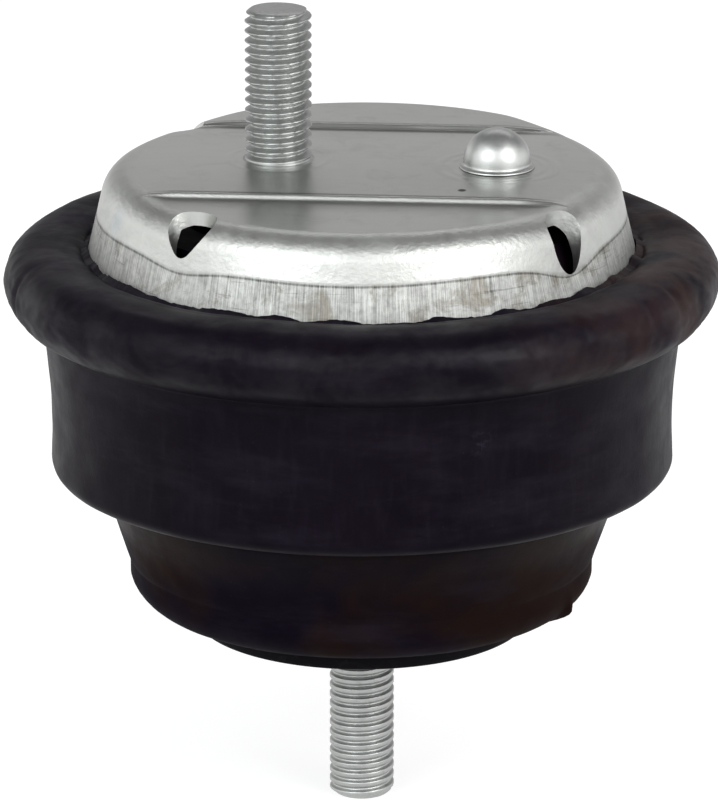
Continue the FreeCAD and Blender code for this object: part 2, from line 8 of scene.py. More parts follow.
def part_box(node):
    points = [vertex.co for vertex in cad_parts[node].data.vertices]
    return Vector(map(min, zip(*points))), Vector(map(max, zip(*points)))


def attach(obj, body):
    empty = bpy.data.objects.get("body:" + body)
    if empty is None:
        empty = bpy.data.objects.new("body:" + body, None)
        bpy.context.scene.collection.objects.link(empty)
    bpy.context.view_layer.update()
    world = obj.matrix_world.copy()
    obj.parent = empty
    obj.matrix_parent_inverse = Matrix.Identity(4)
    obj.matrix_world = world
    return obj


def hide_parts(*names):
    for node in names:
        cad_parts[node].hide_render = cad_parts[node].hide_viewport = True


# Looks of the hydraulic engine mount: a pressed zinc-plated pan with a raised
# band, a moulded rubber body with a rolled collar, two threaded studs and a
# domed locating pin.  Metres, in the frame of the solids.

MM = 0.001
MIX_FIRST, MIX_SECOND = 6, 7         # colour inputs of a Mix node
MIX_RESULT = 2                       # and its colour output


# ------------------------------------------------------------ node trees
class Value:
    """One socket of a node tree, used in sums like a plain number."""

    def __init__(self, graph, socket):
        self.graph = graph
        self.socket = socket

    def __add__(self, other):
        return self.graph.maths("ADD", self, other)

    def __radd__(self, other):
        return self.graph.maths("ADD", other, self)

    def __sub__(self, other):
        return self.graph.maths("SUBTRACT", self, other)

    def __rsub__(self, other):
        return self.graph.maths("SUBTRACT", other, self)

    def __mul__(self, other):
        return self.graph.maths("MULTIPLY", self, other)

    def __rmul__(self, other):
        return self.graph.maths("MULTIPLY", other, self)

    def __truediv__(self, other):
        return self.graph.maths("DIVIDE", self, other)

    def __rtruediv__(self, other):
        return self.graph.maths("DIVIDE", other, self)

    def __pow__(self, other):
        return self.graph.maths("POWER", self, other)

    def least(self, other):
        return self.graph.maths("MINIMUM", self, other)

    def most(self, other):
        return self.graph.maths("MAXIMUM", self, other)

    def size(self):
        return self.graph.maths("ABSOLUTE", self)

    def clamped(self):
        return self.most(0.0).least(1.0)

    def swing(self, amount):
        """A value from 0 to 1 turned into one that swings evenly round 0."""
        return (self - 0.5) * amount


class Graph:
    """A node tree being built, in a material, a world or a modifier."""

    def __init__(self, tree):
        self.tree = tree

    def node(self, kind, settings=None, inputs=None):
        """Add a node: its settings first, then the values or links it takes."""
        made = self.tree.nodes.new(kind)
        for name, setting in (settings or {}).items():
            setattr(made, name, setting)
        for name, given in (inputs or {}).items():
            if isinstance(given, Value):
                self.tree.links.new(given.socket, made.inputs[name])
            else:
                made.inputs[name].default_value = given
        return made

    def out(self, made, name=0):
        return Value(self, made.outputs[name])

    def maths(self, operation, first, second=0.0):
        made = self.node("ShaderNodeMath", {"operation": operation}, {0: first, 1: second})
        return self.out(made)

    def span(self, value, low, high, start=0.0, stop=1.0, smooth=False):
        """Carry a value from low..high over to start..stop, held at both ends."""
        made = self.node(
            "ShaderNodeMapRange",
            {"clamp": True, "interpolation_type": "SMOOTHSTEP" if smooth else "LINEAR"},
            {"Value": value, "From Min": low, "From Max": high,
             "To Min": start, "To Max": stop})
        return self.out(made)


class Finish(Graph):
    """A material of one Principled shader on millimetre object coordinates."""

    def __init__(self, name, **fixed):
        self.material = bpy.data.materials.new(name)
        self.material.use_nodes = True
        super().__init__(self.material.node_tree)
        self.shader = self.tree.nodes["Principled BSDF"]
        for socket, given in fixed.items():
            self.shader.inputs[socket.replace("_", " ")].default_value = given
        coordinates = self.node("ShaderNodeTexCoord")
        scaled = self.node("ShaderNodeVectorMath", {"operation": "SCALE"},
                           {0: self.out(coordinates, "Object"), "Scale": 1.0 / MM})
        self.place = self.out(scaled)
        parts = self.node("ShaderNodeSeparateXYZ", None, {0: self.place})
        self.x, self.y, self.z = (self.out(parts, axis) for axis in "XYZ")
        self.radius = ((self.x * self.x) + (self.y * self.y)) ** 0.5

    def stretched(self, across, along, up, shift=0.0):
        """Coordinates scaled by different amounts on each axis."""
        made = self.node("ShaderNodeMapping", {"vector_type": "POINT"},
                         {"Vector": self.place, "Scale": (across, along, up),
                          "Location": (shift, shift * 0.7, shift * 1.3)})
        return self.out(made)

    def cloud(self, scale, detail=2.0, rough=0.5, place=None, warp=0.0):
        """Noise from 0 to 1, with about one lump every 1/scale millimetres."""
        made = self.node("ShaderNodeTexNoise", {"noise_dimensions": "3D"},
                         {"Vector": place or self.place, "Scale": scale, "Detail": detail,
                          "Roughness": rough, "Distortion": warp})
        return self.out(made, "Fac")

    def cells(self, scale):
        """Distance to the nearest of many scattered points."""
        made = self.node("ShaderNodeTexVoronoi", {"feature": "F1"},
                         {"Vector": self.place, "Scale": scale})
        return self.out(made, "Distance")

    def angled(self, count):
        """Coordinates that run round the Z axis, for streaks up a round wall."""
        turn = self.maths("ARCTAN2", self.y, self.x)
        joined = self.node("ShaderNodeCombineXYZ", None,
                           {"X": turn * count, "Y": self.z * 0.12, "Z": self.radius * 0.02})
        return self.out(joined)

    def blend(self, factor, first, second):
        """Two colours mixed by a factor."""
        made = self.node("ShaderNodeMix",
                         {"data_type": "RGBA", "blend_type": "MIX", "clamp_factor": True},
                         {"Factor": factor, MIX_FIRST: first, MIX_SECOND: second})
        return self.out(made, MIX_RESULT)

    def toned(self, level, tint):
        """A tint dimmed by a level from 0 to 1."""
        return self.blend(level.clamped(), BLACK, tint)

    def away(self, x):
        """Distance from the upright line through a place on the X axis."""
        across = self.x - x
        return (across * across + self.y * self.y) ** 0.5

    def spot(self, x, y, z, near, far):
        """1 inside a ball round a point, falling to 0 between near and far."""
        away = self.node("ShaderNodeVectorMath", {"operation": "DISTANCE"},
                         {0: self.place, 1: (x, y, z)})
        return self.span(self.out(away, "Value"), near, far, 1.0, 0.0, smooth=True)

    def spots(self, places):
        """The strongest of several spots."""
        strongest = self.spot(*places[0])
        for place in places[1:]:
            strongest = strongest.most(self.spot(*place))
        return strongest

    def line(self, value, middle, width):
        """1 where a value is at the middle, falling to 0 a width away."""
        return self.span((value - middle).size(), 0.15 * width, width, 1.0, 0.0, smooth=True)

    def relief(self, height, distance, strength=1.0, under=None):
        """A Bump node whose height is in millimetres."""
        inputs = {"Height": height, "Distance": distance * MM, "Strength": strength}
        if under is not None:
            inputs["Normal"] = under
        return self.out(self.node("ShaderNodeBump", None, inputs))

    def feed(self, **links):
        for socket, given in links.items():
            self.tree.links.new(given.socket, self.shader.inputs[socket.replace("_", " ")])
        return self.material


# ------------------------------------------------------------ sizes, millimetres
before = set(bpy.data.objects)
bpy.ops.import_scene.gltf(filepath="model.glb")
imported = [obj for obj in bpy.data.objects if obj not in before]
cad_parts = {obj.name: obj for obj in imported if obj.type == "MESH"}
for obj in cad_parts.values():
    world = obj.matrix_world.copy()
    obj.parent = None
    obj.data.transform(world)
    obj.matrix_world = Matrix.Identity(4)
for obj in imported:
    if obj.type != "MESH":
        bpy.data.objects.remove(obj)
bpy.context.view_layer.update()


def box(node):
    """Lowest and highest corner of a solid, in millimetres."""
    low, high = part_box(node)
    return Vector(low) / MM, Vector(high) / MM


body_low, body_high = box("rubber_body")
pan_low, pan_high = box("base_pan")
ring_low, ring_high = box("outer_ring")
core_high = box("inner_core")[1]
stud_low, stud_high = box("engine_stud")
bolt_low, bolt_high = box("frame_stud")
pin_low, pin_high = box("locating_pin")

SHEET = 2.0                          # thickness of the pressed sheet
BAND_TOP = pan_high.z
FLANGE_UNDER = pan_low.z
FLANGE_TOP = FLANGE_UNDER + SHEET
FLANGE_RADIUS = pan_high.x
FOOT_RADIUS = FLANGE_RADIUS - 7.5
FOOT_BEND = 1.6
KNEE_RADIUS = FOOT_RADIUS - 1.5
KNEE_HEIGHT = FLANGE_TOP + 7.7
CROWN_FLAT = KNEE_RADIUS - 5.6
CROWN_ROUND = 5.0
CROWN_SWEEP = math.radians(75.0)

# Crown, from the far side to the near one: far segment, cambered band and near
# segment, with a soft step between each two that fades out towards its ends.
BAND_CAMBER = 0.6                    # the band's edges lie this far under its middle
BAND_END_FALL = 0.6                  # and its ends fall this much
BAND_END = (24, 12)                  # from where, and over how far
NEAR_STEP_END = (27.0, 6.0)
FAR_STEP_END = (19.0, 12.0)
NEAR_TOP = BAND_TOP - 1.35
LINE_TURN = math.radians(3.5)        # both steps run a little askew
NEAR_LINE = -17.7
FAR_LINE = 21.2
STEP_EASE = 0.36                     # half the width over which a step falls

# For each vent: its turn about Z, how far out it lies, the punch's radius, its
# tilt above level, and how far it drew the knee down.
Vent = namedtuple("Vent", "turn reach radius tilt dip")
STUD_VENT = {"reach": 36.2, "radius": 3.15, "tilt": 80.0, "dip": 1.3}
PIN_VENT = {"reach": 38.3, "radius": 3.25, "tilt": 70.0, "dip": 2.5}
VENTS = [Vent(-124.6, **STUD_VENT), Vent(-31.2, **PIN_VENT),
         Vent(58.8, **PIN_VENT), Vent(147.4, **STUD_VENT)]
VENT_LEVEL = 66.0
VENT_DIP_WIDTH = 6.5
VENT_PUNCH_HALF = 9.0                # half the length of the punch
VENT_FLARE = math.tan(math.radians(14.0))    # it leaves a drawn-in, flared lip
VENT_FLARE_BELOW = 0.45              # share of the flare under the lip
PUNCH_SEGMENTS = 64
HOLE_SEGMENTS = 48

BOLT_X = (bolt_low.x + bolt_high.x) / 2
BOLT_TOP = bolt_high.z
BOLT_RADIUS = 4.975
PIN_X = (pin_low.x + pin_high.x) / 2
PIN_RADIUS = 5.0
PIN_HOLE_RADIUS = 3.65
PIN_SHANK_RADIUS = 3.6
PIN_TAIL_RADIUS = 5.4
HOLE_CLEARANCE = 0.02
STUD_END = stud_low.z
STUD_RADIUS = 4.875
ROOT_RADIUS = stud_high.x
PITCH = 1.5

RING_RADIUS = 45.0
RIM_RADIUS = ring_high.x
SHELF = 49.4
BODY_BOTTOM = ring_low.z - 4.2
SEAT_RADIUS = core_high.x
SEAT_THICKNESS = 3.2
CORE_NECK_RADIUS = 21.0
CORE_TOP_RADIUS = 12.0
COLLAR_RADIUS = RIM_RADIUS + 3.15


# ------------------------------------------------------------ mesh helpers
def arc(start, stop, radius, turn, count):
    """Points of the short arc from start to stop, without start.
    turn is 1 for an arc that bends left and -1 for one that bends right."""
    (x0, y0), (x1, y1) = start, stop
    half = math.dist(start, stop) / 2
    depth = math.sqrt(max(radius * radius - half * half, 0.0)) * turn
    side = (-(y1 - y0) / (2 * half), (x1 - x0) / (2 * half))
    cx = (x0 + x1) / 2 + side[0] * depth
    cy = (y0 + y1) / 2 + side[1] * depth
    first = math.atan2(y0 - cy, x0 - cx)
    sweep = math.atan2(y1 - cy, x1 - cx) - first
    while sweep * turn < 0:
        sweep += 2 * math.pi * turn
    return [(cx + radius * math.cos(first + sweep * step / count),
             cy + radius * math.sin(first + sweep * step / count))
            for step in range(1, count + 1)]


def straight(start, stop, count):
    """Points of a straight run, without start."""
    return [(start[0] + (stop[0] - start[0]) * step / count,
             start[1] + (stop[1] - start[1]) * step / count)
            for step in range(1, count + 1)]


def ring_of(mesh, radius, height, segments):
    return [mesh.verts.new((radius * math.cos(2 * math.pi * k / segments),
                            radius * math.sin(2 * math.pi * k / segments), height))
            for k in range(segments)]


def joined_rings(mesh, lower, upper):
    """Faces between two rings, either of which may be a single point."""
    count = max(len(lower), len(upper))
    for k in range(count):
        following = (k + 1) % count
        if len(lower) == 1:
            mesh.faces.new((lower[0], upper[following], upper[k]))
        elif len(upper) == 1:
            mesh.faces.new((lower[k], lower[following], upper[0]))
        else:
            mesh.faces.new((lower[k], lower[following], upper[following], upper[k]))


def lathe(profile, segments, looped=False):
    """A mesh turned about Z from radius and height points."""
    mesh = bmesh.new()
    rings = []
    for radius, height in profile:
        if radius < 1e-6:
            rings.append([mesh.verts.new((0.0, 0.0, height))])
        else:
            rings.append(ring_of(mesh, radius, height, segments))
    for lower, upper in zip(rings, rings[1:]):
        joined_rings(mesh, lower, upper)
    if looped:
        joined_rings(mesh, rings[-1], rings[0])
    return mesh


def piece(name, mesh, material, replaced, crease):
    """Turn a bmesh in millimetres into a finished object of the scene."""
    bmesh.ops.scale(mesh, vec=(MM, MM, MM), verts=mesh.verts)
    bmesh.ops.recalc_face_normals(mesh, faces=mesh.faces)
    data = bpy.data.meshes.new(name)
    mesh.to_mesh(data)
    mesh.free()
    data.materials.append(material)
    data.shade_smooth()
    data.set_sharp_from_angle(angle=math.radians(crease))
    made = bpy.data.objects.new(name, data)
    bpy.context.scene.collection.objects.link(made)
    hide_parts(*replaced)
    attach(made, "root")


def eased(value):
    """Smooth step from 0 to 1."""
    held = min(max(value, 0.0), 1.0)
    return held * held * (3 - 2 * held)


def hump(distance, width):
    """1 at no distance, falling softly to about a third a width away."""
    return math.exp(-(distance / width) ** 2)


# ------------------------------------------------------------ finishes
BLACK = (0.0, 0.0, 0.0, 1.0)
PAN_TINT = (0.985, 1.0, 0.965, 1.0)
PLATED_TINT = (0.98, 1.0, 0.98, 1.0)
PLAIN_TINT = (1.0, 0.99, 0.97, 1.0)
EARTHY = (0.27, 0.24, 0.19, 1.0)
BLUISH = (0.20, 0.30, 0.42, 1.0)
RUBBER_DEEP = (0.0024, 0.0009, 0.0042, 1.0)
RUBBER_PALE = (0.0052, 0.0030, 0.0075, 1.0)
RUBBER_BROWN = (0.0110, 0.0050, 0.0040, 1.0)
RUBBER_RUSSET = (0.0270, 0.0120, 0.0110, 1.0)
RUBBER_BLOOM = (0.024, 0.019, 0.030, 1.0)
CORE_COATED = (0.006, 0.005, 0.007, 1.0)
CORE_WORN = (0.022, 0.020, 0.023, 1.0)

# Small marks: a place, then the distances at which each starts and stops fading.
PITS = [(-7.9, -0.4, 71.2, 0.45, 0.85), (16.6, -12.8, 70.9, 0.4, 0.8)]
BLUE_MARKS = [(-33.0, -19.0, 65.5, 0.6, 3.2), (-33.5, -21.0, 68.0, 0.4, 2.4)]
SCUFF = (23.2, -41.4, 41.0, 0.3, 3.2)


def step_shade(f):
    """Shade along both steps of the crown, fading towards the shoulder."""
    place = f.y * math.cos(LINE_TURN) - f.x * math.sin(LINE_TURN)
    along = (f.x * math.cos(LINE_TURN) + f.y * math.sin(LINE_TURN)).size()
    near = place - NEAR_LINE
    far = place - FAR_LINE
    hollow = f.span(near, -6.5, -0.8) * f.span(near, -0.3, -0.7)
    shade = f.line(near, 0.85, 0.55) * 1.1 + hollow * 0.55
    shade = shade + f.line(far, -1.6, 1.3) * 1.1
    shade = shade + f.line(far, 0.9, 0.6) * 0.7
    return shade * f.span(along, 25.0, 31.0, 1.0, 0.0, smooth=True)


def press_rings(f):
    """Faint rings that the tools left round the bolt and the pin."""
    from_bolt = f.away(BOLT_X)
    from_pin = f.away(PIN_X)
    rings = f.line(from_bolt, 7.4, 0.8).most(f.line(from_pin, 8.8, 1.0))
    return rings.most(f.line(from_pin, 7.0, 0.7) * 0.7)


def zinc_pan():
    """Pressed sheet: satin crown, orange-peel shoulder, drawn and dulled wall, with painted shade
    along the steps and the knee.
    """
    f = Finish("pressed_zinc_sheet", Metallic=1.0)
    wall = f.span(f.radius, KNEE_RADIUS - 0.12, KNEE_RADIUS + 0.06, smooth=True)
    crown = f.span(f.radius, CROWN_FLAT - 0.5, CROWN_FLAT + 2.0, 1.0, 0.0, smooth=True)
    shoulder = (1 - wall) * (1 - crown)
    # knee: a thin line of painted shade along the bend from the shoulder down to the wall
    knee = f.line(f.radius, KNEE_RADIUS + 0.03, 0.07)
    # foot: the wall is painted darker towards its foot, where the rubber's lip meets it
    foot = f.span(f.z, FLANGE_TOP + 3.0, FLANGE_TOP + 0.4, smooth=True)
    streaks = f.cloud(1.0, 6.0, 0.72, f.angled(230.0))
    broad_streaks = f.cloud(1.0, 3.0, 0.6, f.angled(16.0))
    mottle = f.cloud(0.35, 4.0, 0.6)
    fine = f.cloud(2.4, 3.0, 0.6)
    peeled = f.cloud(1.0, 3.0, 0.6)
    clouds = f.cloud(0.06, 3.0, 0.55)
    stain = f.span(f.cloud(0.16, 5.0, 0.72, warp=0.8), 0.52, 0.68)
    rub = f.span(f.cloud(1.0, 4.0, 0.6, f.stretched(0.05, 0.9, 0.9)), 0.45, 0.7)
    scratch = f.span(f.cloud(1.0, 2.0, 0.5, f.stretched(0.10, 0.10, 2.6, 4.0)), 0.66, 0.70)

    level = 0.50 + clouds.swing(0.10) + mottle.swing(0.05 + shoulder * 0.08)
    level = level + wall * (streaks.swing(0.85) + broad_streaks.swing(0.20) - 0.14)
    level = level + wall * peeled.swing(0.30)
    level = level - stain * (0.03 + wall * 0.14) - rub * crown * 0.015
    # Painted shade along both steps and along the knee line.
    level = level - step_shade(f) * (1 - wall) * 0.26 - knee * 0.19
    level = level - scratch * wall * 0.10 - foot * 0.10
    level = level - f.spots(PITS) * 0.50
    colour = f.blend(stain * wall * 0.5, f.toned(level, PAN_TINT), EARTHY)
    colour = f.blend(f.spots(BLUE_MARKS) * 0.18, colour, BLUISH)

    rough = 0.30 + shoulder * 0.13 + wall * 0.15 + clouds.swing(0.08)
    rough = rough + mottle.swing(0.14) * (shoulder + 0.3) + stain * 0.06
    peel = f.relief((peeled + mottle) * shoulder + fine * 0.2, 0.14, 0.6)
    drawn = f.relief(streaks * wall, 0.08, 0.8, peel)
    stamped = f.relief(press_rings(f) * crown, 0.10, 0.5, drawn)
    return f.feed(Base_Color=colour, Roughness=rough.clamped(), Normal=stamped)


def zinc_thread(name, tone, dirt):
    """Bright plated thread with faint soiling."""
    f = Finish(name, Metallic=1.0)
    grain = f.cloud(1.2, 3.0, 0.6)
    broad = f.cloud(0.25, 3.0, 0.6)
    soiled = f.span(f.cloud(0.5, 5.0, 0.75, warp=0.4), 0.5, 0.72)
    level = tone + grain.swing(0.10) + broad.swing(0.12) - dirt * soiled
    rough = 0.42 + grain.swing(0.12) + broad.swing(0.1)
    return f.feed(Base_Color=f.toned(level, PLATED_TINT), Roughness=rough.clamped(),
                  Normal=f.relief(grain, 0.02, 0.3))


def zinc_dome():
    """Smooth plated dome of the locating pin."""
    f = Finish("polished_zinc_dome", Metallic=1.0)
    broad = f.cloud(0.5, 3.0, 0.6)
    fine = f.cloud(3.0, 3.0, 0.6)
    level = 0.47 + broad.swing(0.12)
    rough = 0.41 + broad.swing(0.12)
    return f.feed(Base_Color=f.toned(level, PLATED_TINT), Roughness=rough.clamped(),
                  Normal=f.relief(broad + fine * 0.3, 0.05, 0.5))


def black_rubber():
    """Moulded rubber with bloom, brownish patches and fine flow marks."""
    f = Finish("moulded_black_rubber", Metallic=0.0, IOR=1.5, Specular_IOR_Level=0.05,
               Coat_Roughness=0.34, Coat_IOR=1.5)
    over_step = f.span(f.z, BODY_BOTTOM + 1.0, BODY_BOTTOM + 3.0, smooth=True)
    body = over_step * f.span(f.z, SHELF - 1.0, SHELF - 3.0, smooth=True)
    collar = f.span(f.z, SHELF - 1.0, SHELF + 1.0, smooth=True)
    neck = f.span(f.z, BODY_BOTTOM, BODY_BOTTOM - 1.5, smooth=True)
    low = f.span(f.z, 20.0, 12.0, smooth=True)
    patches = f.cloud(0.07, 4.0, 0.6, warp=0.5)
    streaks = f.cloud(1.0, 4.0, 0.6, f.angled(30.0))
    flow = f.cloud(1.0, 4.0, 0.65, f.stretched(0.12, 0.12, 1.1))
    grain = f.cloud(2.2, 3.0, 0.6)
    lumps = f.cloud(0.28, 3.0, 0.55)
    specks = f.span(f.cells(0.42), 0.10, 0.04)
    brown = f.span(f.cloud(0.05, 3.0, 0.6, warp=0.3), 0.42, 0.62) * (neck * 0.9 + 0.06)
    rusted = f.span(f.cloud(0.12, 3.0, 0.6), 0.35, 0.6)
    russet = collar * f.span(f.x, 26.0, 44.0) * rusted
    haze = f.span(f.cloud(1.0, 5.0, 0.65, f.stretched(0.045, 0.045, 0.16)), 0.48, 0.70)
    scuff = f.spot(*SCUFF) * f.span(f.cloud(0.9, 4.0, 0.7), 0.48, 0.60)
    haze = haze.most(scuff * 2.0)
    bloom = f.span(streaks, 0.5, 0.75) * body * 0.16 + specks * 0.22 + haze * 0.36
    base = f.blend(f.span(patches, 0.35, 0.7), RUBBER_DEEP, RUBBER_PALE)
    base = f.blend(brown, base, RUBBER_BROWN)
    base = f.blend(russet * 0.8, base, RUBBER_RUSSET)
    base = f.blend(bloom.clamped(), base, RUBBER_BLOOM)

    rough = 0.46 + collar * 0.08 + patches.swing(0.34) + lumps.swing(0.20)
    rough = rough + streaks.swing(0.1) * body + low * 0.35
    polish = f.span(f.cloud(0.09, 4.0, 0.62, warp=0.4), 0.40, 0.62)
    sheen = collar * (0.03 + polish * 0.20) + body * polish * 0.03
    skin = f.relief(lumps + flow * 0.35, 0.16, 0.35)
    return f.feed(Base_Color=base, Roughness=rough.clamped(),
                  Normal=f.relief(grain, 0.03, 0.5, skin), Coat_Weight=sheen.clamped())


def coated_core():
    """Thin black coat of the core, rubbed on its edge."""
    f = Finish("black_core_coat", Metallic=0.0, IOR=1.5, Specular_IOR_Level=0.05)
    grain = f.cloud(1.8, 4.0, 0.65)
    wear = f.span(f.cloud(0.6, 4.0, 0.7), 0.55, 0.7)
    rough = 0.60 + grain.swing(0.25)
    return f.feed(Base_Color=f.blend(wear * 0.5, CORE_COATED, CORE_WORN),
                  Roughness=rough.clamped(), Normal=f.relief(grain, 0.03, 0.5))


def inner_metal(name, level, scale):
    """Plain unseen metal of the pieces inside."""
    f = Finish(name, Metallic=1.0)
    grain = f.cloud(scale, 4.0, 0.6)
    rough = 0.42 + grain.swing(0.3)
    return f.feed(Base_Color=f.toned(level + grain.swing(0.12), PLAIN_TINT),
                  Roughness=rough.clamped(), Normal=f.relief(grain, 0.03, 0.4))


PAN_ZINC = zinc_pan()
BOLT_ZINC = zinc_thread("bright_zinc_thread", 0.41, 0.07)
STUD_ZINC = zinc_thread("dull_zinc_thread", 0.42, 0.08)
DOME_ZINC = zinc_dome()
RUBBER = black_rubber()
CORE_COAT = coated_core()
STEEL = inner_metal("plain_steel", 0.45, 0.9)
ALUMINIUM = inner_metal("cast_aluminium", 0.60, 1.6)
INSIDE = {
    "outer_ring": STEEL,
    "channel_rivets": STEEL,
    "channel_plate_lower": ALUMINIUM,
    "channel_plate_upper": ALUMINIUM,
    "decoupler_disc": RUBBER,
    "diaphragm": RUBBER,
}
for node, material in INSIDE.items():
    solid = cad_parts[node]
    solid.data.materials.clear()
    solid.data.materials.append(material)


# ------------------------------------------------------------ pressed pan
PAN_SEGMENTS = 480
SHOULDER_RINGS = 34
WALL_RINGS = 8
KNEE_STRAY = 0.35                    # how unevenly the drawn wall begins


def across_steps(x, y):
    """Distance square to the two step lines, rising towards the far segment."""
    return y * math.cos(LINE_TURN) - x * math.sin(LINE_TURN)


def crown_level(x, y):
    """Height of the flat crown: near segment, cambered band, far segment."""
    def past(end):
        """0 before a step's end, rising to 1 over its run."""
        start, run = end
        return eased((along - start) / run)

    place = across_steps(x, y)
    middle = (NEAR_LINE + FAR_LINE) / 2
    off = (place - middle) / (FAR_LINE - middle)
    end, run = BAND_END
    band = BAND_TOP - BAND_CAMBER * off * off - BAND_END_FALL * eased((abs(x) - end) / run)
    along = abs(x * math.cos(LINE_TURN) + y * math.sin(LINE_TURN))
    on_band = eased((place - NEAR_LINE + STEP_EASE) / (2 * STEP_EASE))
    on_band = max(on_band, past(NEAR_STEP_END))
    on_far = eased((place - FAR_LINE + STEP_EASE) / (2 * STEP_EASE))
    on_far *= 1.0 - past(FAR_STEP_END)
    level = NEAR_TOP + (band - NEAR_TOP) * on_band
    return level + (BAND_TOP - level) * on_far


def knee_level(x, y):
    """Height of the knee, which the vent punches drew down a little."""
    turn = math.atan2(y, x)
    place = Vector((math.cos(turn), math.sin(turn), 0.3)) * 1.7
    level = KNEE_HEIGHT + KNEE_STRAY * noise.noise(place)
    for vent in VENTS:
        apart = math.remainder(turn - math.radians(vent.turn), 2 * math.pi)
        level -= vent.dip * hump(apart * KNEE_RADIUS, VENT_DIP_WIDTH)
    return level


def wall_height(x, y, radius):
    """Height of the wall, the bend at its foot and the flange."""
    if radius <= FOOT_RADIUS:
        share = (radius - KNEE_RADIUS) / (FOOT_RADIUS - KNEE_RADIUS)
        knee = knee_level(x, y)
        return knee + (FLANGE_TOP + FOOT_BEND - knee) * share
    if radius <= FOOT_RADIUS + FOOT_BEND:
        inward = FOOT_RADIUS + FOOT_BEND - radius
        return FLANGE_TOP + FOOT_BEND - math.sqrt(max(FOOT_BEND ** 2 - inward ** 2, 0.0))
    return FLANGE_TOP


def pan_height(x, y):
    """Height of the pressed sheet's outside at any place under it."""
    radius = math.hypot(x, y)
    if radius > KNEE_RADIUS:
        return wall_height(x, y, radius)
    top = crown_level(x, y)
    end_radius = CROWN_FLAT + CROWN_ROUND * math.sin(CROWN_SWEEP)
    if radius <= CROWN_FLAT:
        return top
    if radius <= end_radius:
        inward = radius - CROWN_FLAT
        return top - CROWN_ROUND + math.sqrt(max(CROWN_ROUND ** 2 - inward ** 2, 0.0))
    end_height = top - CROWN_ROUND * (1 - math.cos(CROWN_SWEEP))
    share = min((radius - end_radius) / (KNEE_RADIUS - end_radius), 1.0)
    return end_height + (knee_level(x, y) - end_height) * share


def pan_rings():
    """Radii of the rings: sparse on the flat, close on the shoulder and bend."""
    radii = [6.0, 12.0, 17.0, 19.0] + [19.0 + step for step in range(1, 15)]
    radii += [CROWN_FLAT + CROWN_ROUND * math.sin(CROWN_SWEEP * k / SHOULDER_RINGS)
              for k in range(SHOULDER_RINGS + 1)]
    last = radii[-1]
    rows = range(1, WALL_RINGS + 1)
    radii += [last + (KNEE_RADIUS - last) * k / WALL_RINGS for k in rows]
    radii += [KNEE_RADIUS + (FOOT_RADIUS - KNEE_RADIUS) * k / WALL_RINGS for k in rows]
    radii += [FOOT_RADIUS + FOOT_BEND * (1 - math.cos(math.pi / 2 * k / WALL_RINGS))
              for k in rows]
    radii += [FLANGE_RADIUS - 2.0, FLANGE_RADIUS]
    return radii


def split_along_steps(mesh):
    """Rows of edges along both step lines, so that the steps stay crisp."""
    square = Vector((-math.sin(LINE_TURN), math.cos(LINE_TURN), 0.0))
    easing = [STEP_EASE * (share / 5.0 - 1.0) for share in range(11)]
    for line in [middle + shift for middle in (NEAR_LINE, FAR_LINE) for shift in easing]:
        crossed = [face for face in mesh.faces
                   if all(math.hypot(v.co.x, v.co.y) <= KNEE_RADIUS + 0.01 for v in face.verts)
                   and min(v.co.dot(square) for v in face.verts) < line
                   < max(v.co.dot(square) for v in face.verts)]
        edges = {edge for face in crossed for edge in face.edges}
        corners = {vert for face in crossed for vert in face.verts}
        bmesh.ops.bisect_plane(mesh, geom=crossed + list(edges) + list(corners), dist=1e-4,
                               plane_co=square * line, plane_no=square)


def sheet_underside(mesh, rim):
    """The inner face of the sheet, from the flange's rim in to the middle."""
    wall = [(FLANGE_RADIUS, FLANGE_UNDER), (FOOT_RADIUS + FOOT_BEND, FLANGE_UNDER),
            (FOOT_RADIUS - 0.9, FLANGE_UNDER + 1.05),
            (FOOT_RADIUS - SHEET, FLANGE_TOP + FOOT_BEND),
            (KNEE_RADIUS - SHEET, KNEE_HEIGHT - 0.6)]
    shoulder = [(CROWN_FLAT + 2.6, 2.4), (CROWN_FLAT + 1.6, 0.6), (CROWN_FLAT, 0.0)]
    flat = [(reach, 0.0) for reach in (30.0, 27.0, 24.0, 21.5, 18.0, 14.0, 10.0, 6.0)]
    previous = rim
    for radius, height in wall:
        ring = ring_of(mesh, radius, height, PAN_SEGMENTS)
        joined_rings(mesh, previous, ring)
        previous = ring
    for radius, fall in shoulder + flat:
        ring = ring_of(mesh, radius, 0.0, PAN_SEGMENTS)
        for vert in ring:
            vert.co.z = crown_level(vert.co.x, vert.co.y) - SHEET - fall
        joined_rings(mesh, previous, ring)
        previous = ring
    joined_rings(mesh, previous, [mesh.verts.new((0.0, 0.0, crown_level(0, 0) - SHEET))])


def pressed_pan():
    """The closed sheet: flat rings, split along the steps, then pressed to shape."""
    mesh = bmesh.new()
    centre = [mesh.verts.new((0.0, 0.0, 0.0))]
    rings = [centre] + [ring_of(mesh, radius, 0.0, PAN_SEGMENTS) for radius in pan_rings()]
    for inner, outer in zip(rings, rings[1:]):
        joined_rings(mesh, inner, outer)
    split_along_steps(mesh)
    for vert in mesh.verts:
        vert.co.z = pan_height(vert.co.x, vert.co.y)
    sheet_underside(mesh, rings[-1])
    bmesh.ops.recalc_face_normals(mesh, faces=mesh.faces)
    return mesh


